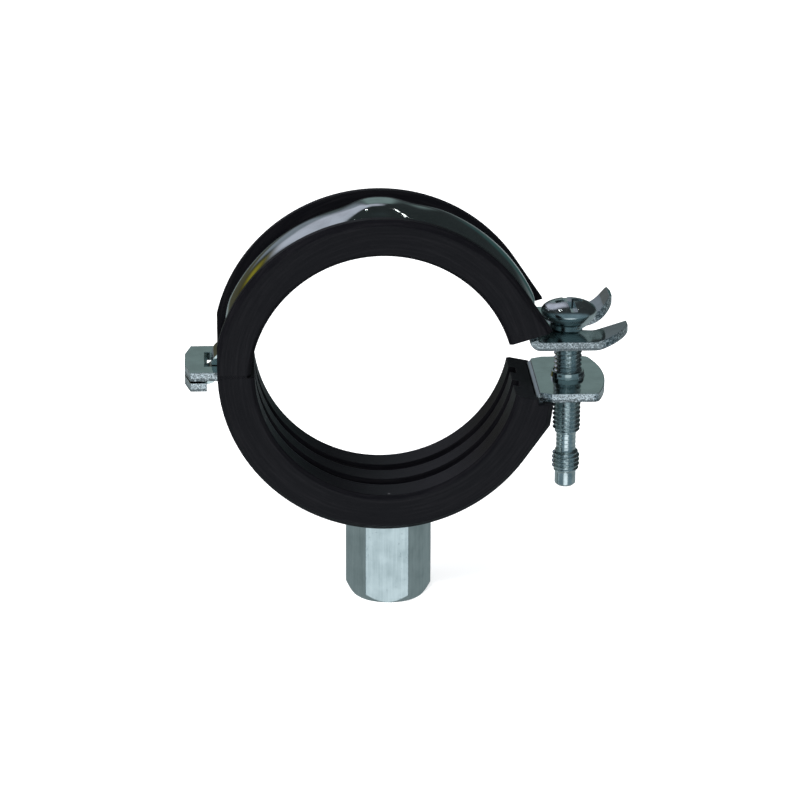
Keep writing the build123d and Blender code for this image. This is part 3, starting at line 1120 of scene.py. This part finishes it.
def carve(piece: Piece, tool_mesh: Mesh, material: Material) -> None:
    """Takes a tool's shape out of a piece for good.

    Args:
        piece: The piece to cut.
        tool_mesh: Mesh of the tool, which is freed.
        material: Finish of the cut faces.
    """
    tool = place_mesh("tool", tool_mesh, material, 30.0)
    cut = piece.modifiers.new("cut", "BOOLEAN")
    cut.operation = "DIFFERENCE"
    cut.solver = "EXACT"
    cut.use_self = True
    cut.object = tool
    seen = piece.evaluated_get(bpy.context.evaluated_depsgraph_get())
    result = bpy.data.meshes.new_from_object(seen)
    piece.modifiers.clear()
    piece.data = result
    bpy.data.objects.remove(tool, do_unlink=True)


# ---- Studio ----


@dataclass(frozen=True)
class Patch:
    """A pale or tinted area of the room, as the metal mirrors it.

    Azimuths are degrees from the back towards the closing side, elevations above the horizon.
    """

    azimuth: Span
    elevation: Span
    soft: float
    colour: Colour

    def mask(self, graph: Graph, azimuth: Socket, elevation: Socket) -> Socket:
        """Full inside the area and none outside it.

        Args:
            graph: The graph of the room.
            azimuth: Azimuth of the direction, in radians.
            elevation: Its elevation, in radians.

        Returns:
            The mask's socket.
        """
        mask = None
        for value, (low, high) in ((azimuth, self.azimuth), (elevation, self.elevation)):
            rise = graph.step(value, radians(low - self.soft), radians(low + self.soft))
            fall = graph.step(value, radians(high - self.soft), radians(high + self.soft))
            inside = graph.math("SUBTRACT", rise, fall)
            mask = inside if mask is None else graph.times(mask, inside)
        return mask


@dataclass
class Studio:
    """White floor, soft lights, and the room that the metal mirrors."""

    floor_level: float = -44.2 * MM
    floor_half: float = 2.5
    floor_glow: float = 0.62
    paper: tuple[Colour, Colour] = ((0.88, 0.88, 0.88), (0.90, 0.90, 0.90))
    room_dark: Colour = (0.030, 0.036, 0.038)
    room_floor: Colour = (0.30, 0.36, 0.37)
    room_fill: Colour = (0.55, 0.56, 0.58)
    patches: tuple[Patch, ...] = (
        Patch((-2.0, 12.0), (-40.0, -11.0), 3.0, (0.62, 0.68, 0.72)),
        Patch((-6.0, 10.0), (8.0, 27.0), 3.0, (0.23, 0.30, 0.30)),
        Patch((-36.0, 5.0), (30.0, 50.0), 4.0, (0.62, 0.62, 0.73)),
        Patch((-38.0, -9.0), (17.0, 52.0), 4.0, (0.66, 0.66, 0.78)),
        Patch((-50.0, -14.0), (-12.0, 6.0), 5.0, (0.085, 0.080, 0.050)),
        Patch((-50.0, -31.0), (2.0, 20.0), 5.0, (0.09, 0.075, 0.02)),
        Patch((-41.0, -33.0), (7.0, 15.0), 4.0, (0.36, 0.30, 0.03)),
        Patch((-26.0, -9.0), (4.0, 20.0), 3.0, (0.26, 0.29, 0.34)),
        Patch((17.0, 30.0), (-14.0, 9.0), 4.0, (0.04, 0.09, 0.09)),
    )
    front: Colour = (1.20, 1.33, 1.40)
    front_half: float = 14.0
    sides: Colour = (0.18, 0.26, 0.30)

    def floor(self) -> None:
        """Adds the floor."""
        mesh = bmesh.new()
        place = Matrix.Translation((0, 0, self.floor_level))
        bmesh.ops.create_grid(mesh, x_segments=1, y_segments=1, size=self.floor_half, matrix=place)
        material, graph, shader, coordinates = new_material("white paper")
        fibre = graph.noise(coordinates.outputs["Object"], 90.0, 2.0)
        tone = graph.mix(fibre, *self.paper)
        graph.put(shader.inputs["Base Color"], tone)
        graph.fill(shader, {"Roughness": 0.9, "Specular IOR Level": 0.0})
        path = graph.add("LightPath").outputs
        glow = graph.times(path["Is Camera Ray"], self.floor_glow)
        graph.fill(shader, {"Emission Color": (1.0, 1.0, 1.0), "Emission Strength": glow})
        clear = graph.add("BsdfTransparent")
        sockets = {0: path["Is Glossy Ray"], 1: shader.outputs[0], 2: clear.outputs[0]}
        either = graph.add("MixShader", sockets)
        graph.put(graph.tree.nodes["Material Output"].inputs["Surface"], either.outputs[0])
        place_mesh("floor", mesh, material, 30.0)

    def room(self) -> None:
        """Adds a room, white to the camera, patched to the metal and even to the rest."""
        world = bpy.data.worlds.new("room")
        bpy.context.scene.world = world
        world.use_nodes = True
        graph = Graph(world.node_tree)
        sky = world.node_tree.nodes["Background"]
        x, y, z = graph.split(graph.add("TexCoord").outputs["Generated"])
        azimuth = graph.math("ARCTAN2", x, y)
        elevation = graph.math("ARCSINE", z)
        seen = graph.mix(graph.step(z, -0.25, 0.1), self.room_floor, self.room_dark)
        seen = graph.mix(graph.rest(graph.step(y, -0.5, 0.1)), seen, self.sides)
        for patch in self.patches:
            seen = graph.mix(patch.mask(graph, azimuth, elevation), seen, patch.colour)
        turned = graph.math("ABSOLUTE", graph.math("ARCTAN2", x, graph.times(y, -1.0)))
        beside = graph.step(turned, radians(self.front_half), radians(2 * self.front_half))
        ahead = graph.rest(beside)
        low = graph.rest(graph.step(z, -0.2, 0.1))
        seen = graph.mix(graph.times(ahead, low), seen, self.front)
        path = graph.add("LightPath").outputs
        colour = graph.mix(path["Is Glossy Ray"], self.room_fill, seen)
        colour = graph.mix(path["Is Camera Ray"], colour, (1.0, 1.0, 1.0))
        graph.fill(sky, {"Color": colour, "Strength": 1.0})

    def lamp(self, name: str, place: Point, size: Span, power: float) -> Piece:
        """Adds a soft light that faces the clamp.

        Args:
            name: Its name.
            place: Where it stands.
            size: Its width and height.
            power: Its power in watts.

        Returns:
            The light.
        """
        data = bpy.data.lights.new(name, "AREA")
        data.shape = "RECTANGLE"
        data.size, data.size_y = size
        data.energy = power
        lamp = bpy.data.objects.new(name, data)
        lamp.location = place
        lamp.rotation_mode = "QUATERNION"
        lamp.rotation_quaternion = (-Vector(place)).to_track_quat("-Z", "Y")
        bpy.context.scene.collection.objects.link(lamp)
        return lamp

    def build(self) -> None:
        """Adds floor, room and lights."""
        self.floor()
        self.room()
        for lamp in (
            self.lamp("key", (-0.16, -0.52, 0.70), (0.20, 0.20), 5.0),
            self.lamp("left", (-0.70, -0.30, 0.50), (0.30, 0.30), 3.5),
        ):
            lamp.visible_glossy = False
        self.lamp("ceiling_near", (0.23, 0.31, 0.74), (0.02, 0.02), 0.05)
        self.lamp("ceiling_far", (-0.17, 0.30, 0.74), (0.02, 0.02), 0.05)


@dataclass
class ClampCamera:
    """The camera in front of the clamp, a little above it."""

    azimuth: float = -3.201
    elevation: float = 19.732
    distance: float = 556.668 * MM
    target: Point = (2.769 * MM, 0.0, -8.667 * MM)
    roll: float = 0.254
    lens: float = 143.84

    def build(self) -> Piece:
        """Adds the camera.

        Returns:
            The camera.
        """
        turn, rise, roll = radians(self.azimuth), radians(self.elevation), radians(self.roll)
        back = Vector((sin(turn) * cos(rise), -cos(turn) * cos(rise), sin(rise)))
        level = Vector((cos(turn), sin(turn), 0.0))
        upward = back.cross(level)
        right = level * cos(roll) + upward * sin(roll)
        up = upward * cos(roll) - level * sin(roll)
        data = bpy.data.cameras.new("camera")
        data.sensor_width = 36.0
        data.lens = self.lens
        data.clip_start = 0.01
        camera = bpy.data.objects.new("camera", data)
        camera.rotation_mode = "QUATERNION"
        camera.rotation_quaternion = Matrix((right, up, back)).transposed().to_quaternion()
        camera.location = Vector(self.target) + back * self.distance
        bpy.context.scene.collection.objects.link(camera)
        bpy.context.scene.camera = camera
        return camera


def report(sub_assembly: str, pieces: Iterable[Piece]) -> None:
    """Logs each piece of a sub-assembly with its face count."""
    for piece in pieces:
        log.info("%s: %s, %d faces", sub_assembly, piece.name, len(piece.data.polygons))


def main() -> None:
    """Builds the clamp's sub-assemblies in order, then the studio and the camera."""
    logging.basicConfig(level=logging.INFO, format="%(message)s")
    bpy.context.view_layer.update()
    strip, rubber = StripZinc().material(), LiningRubber().material()
    report("lower half", LinedHalf("lower_band", "lower_lining").build(strip, rubber))
    report("upper half", LinedHalf("upper_band", "upper_lining").build(strip, rubber))
    report("upper crown", UpperCrown().build(strip, rubber))
    report("lower crown", LowerCrown().build(strip))
    report("nut", ConnectionNut().build(NutZinc().material()))
    report("screw", ClosingScrew().build(ScrewZinc().material()))
    Studio().build()
    ClampCamera().build()
    bpy.context.scene.view_settings.view_transform = "Standard"


if __name__ == "__main__":
    main()
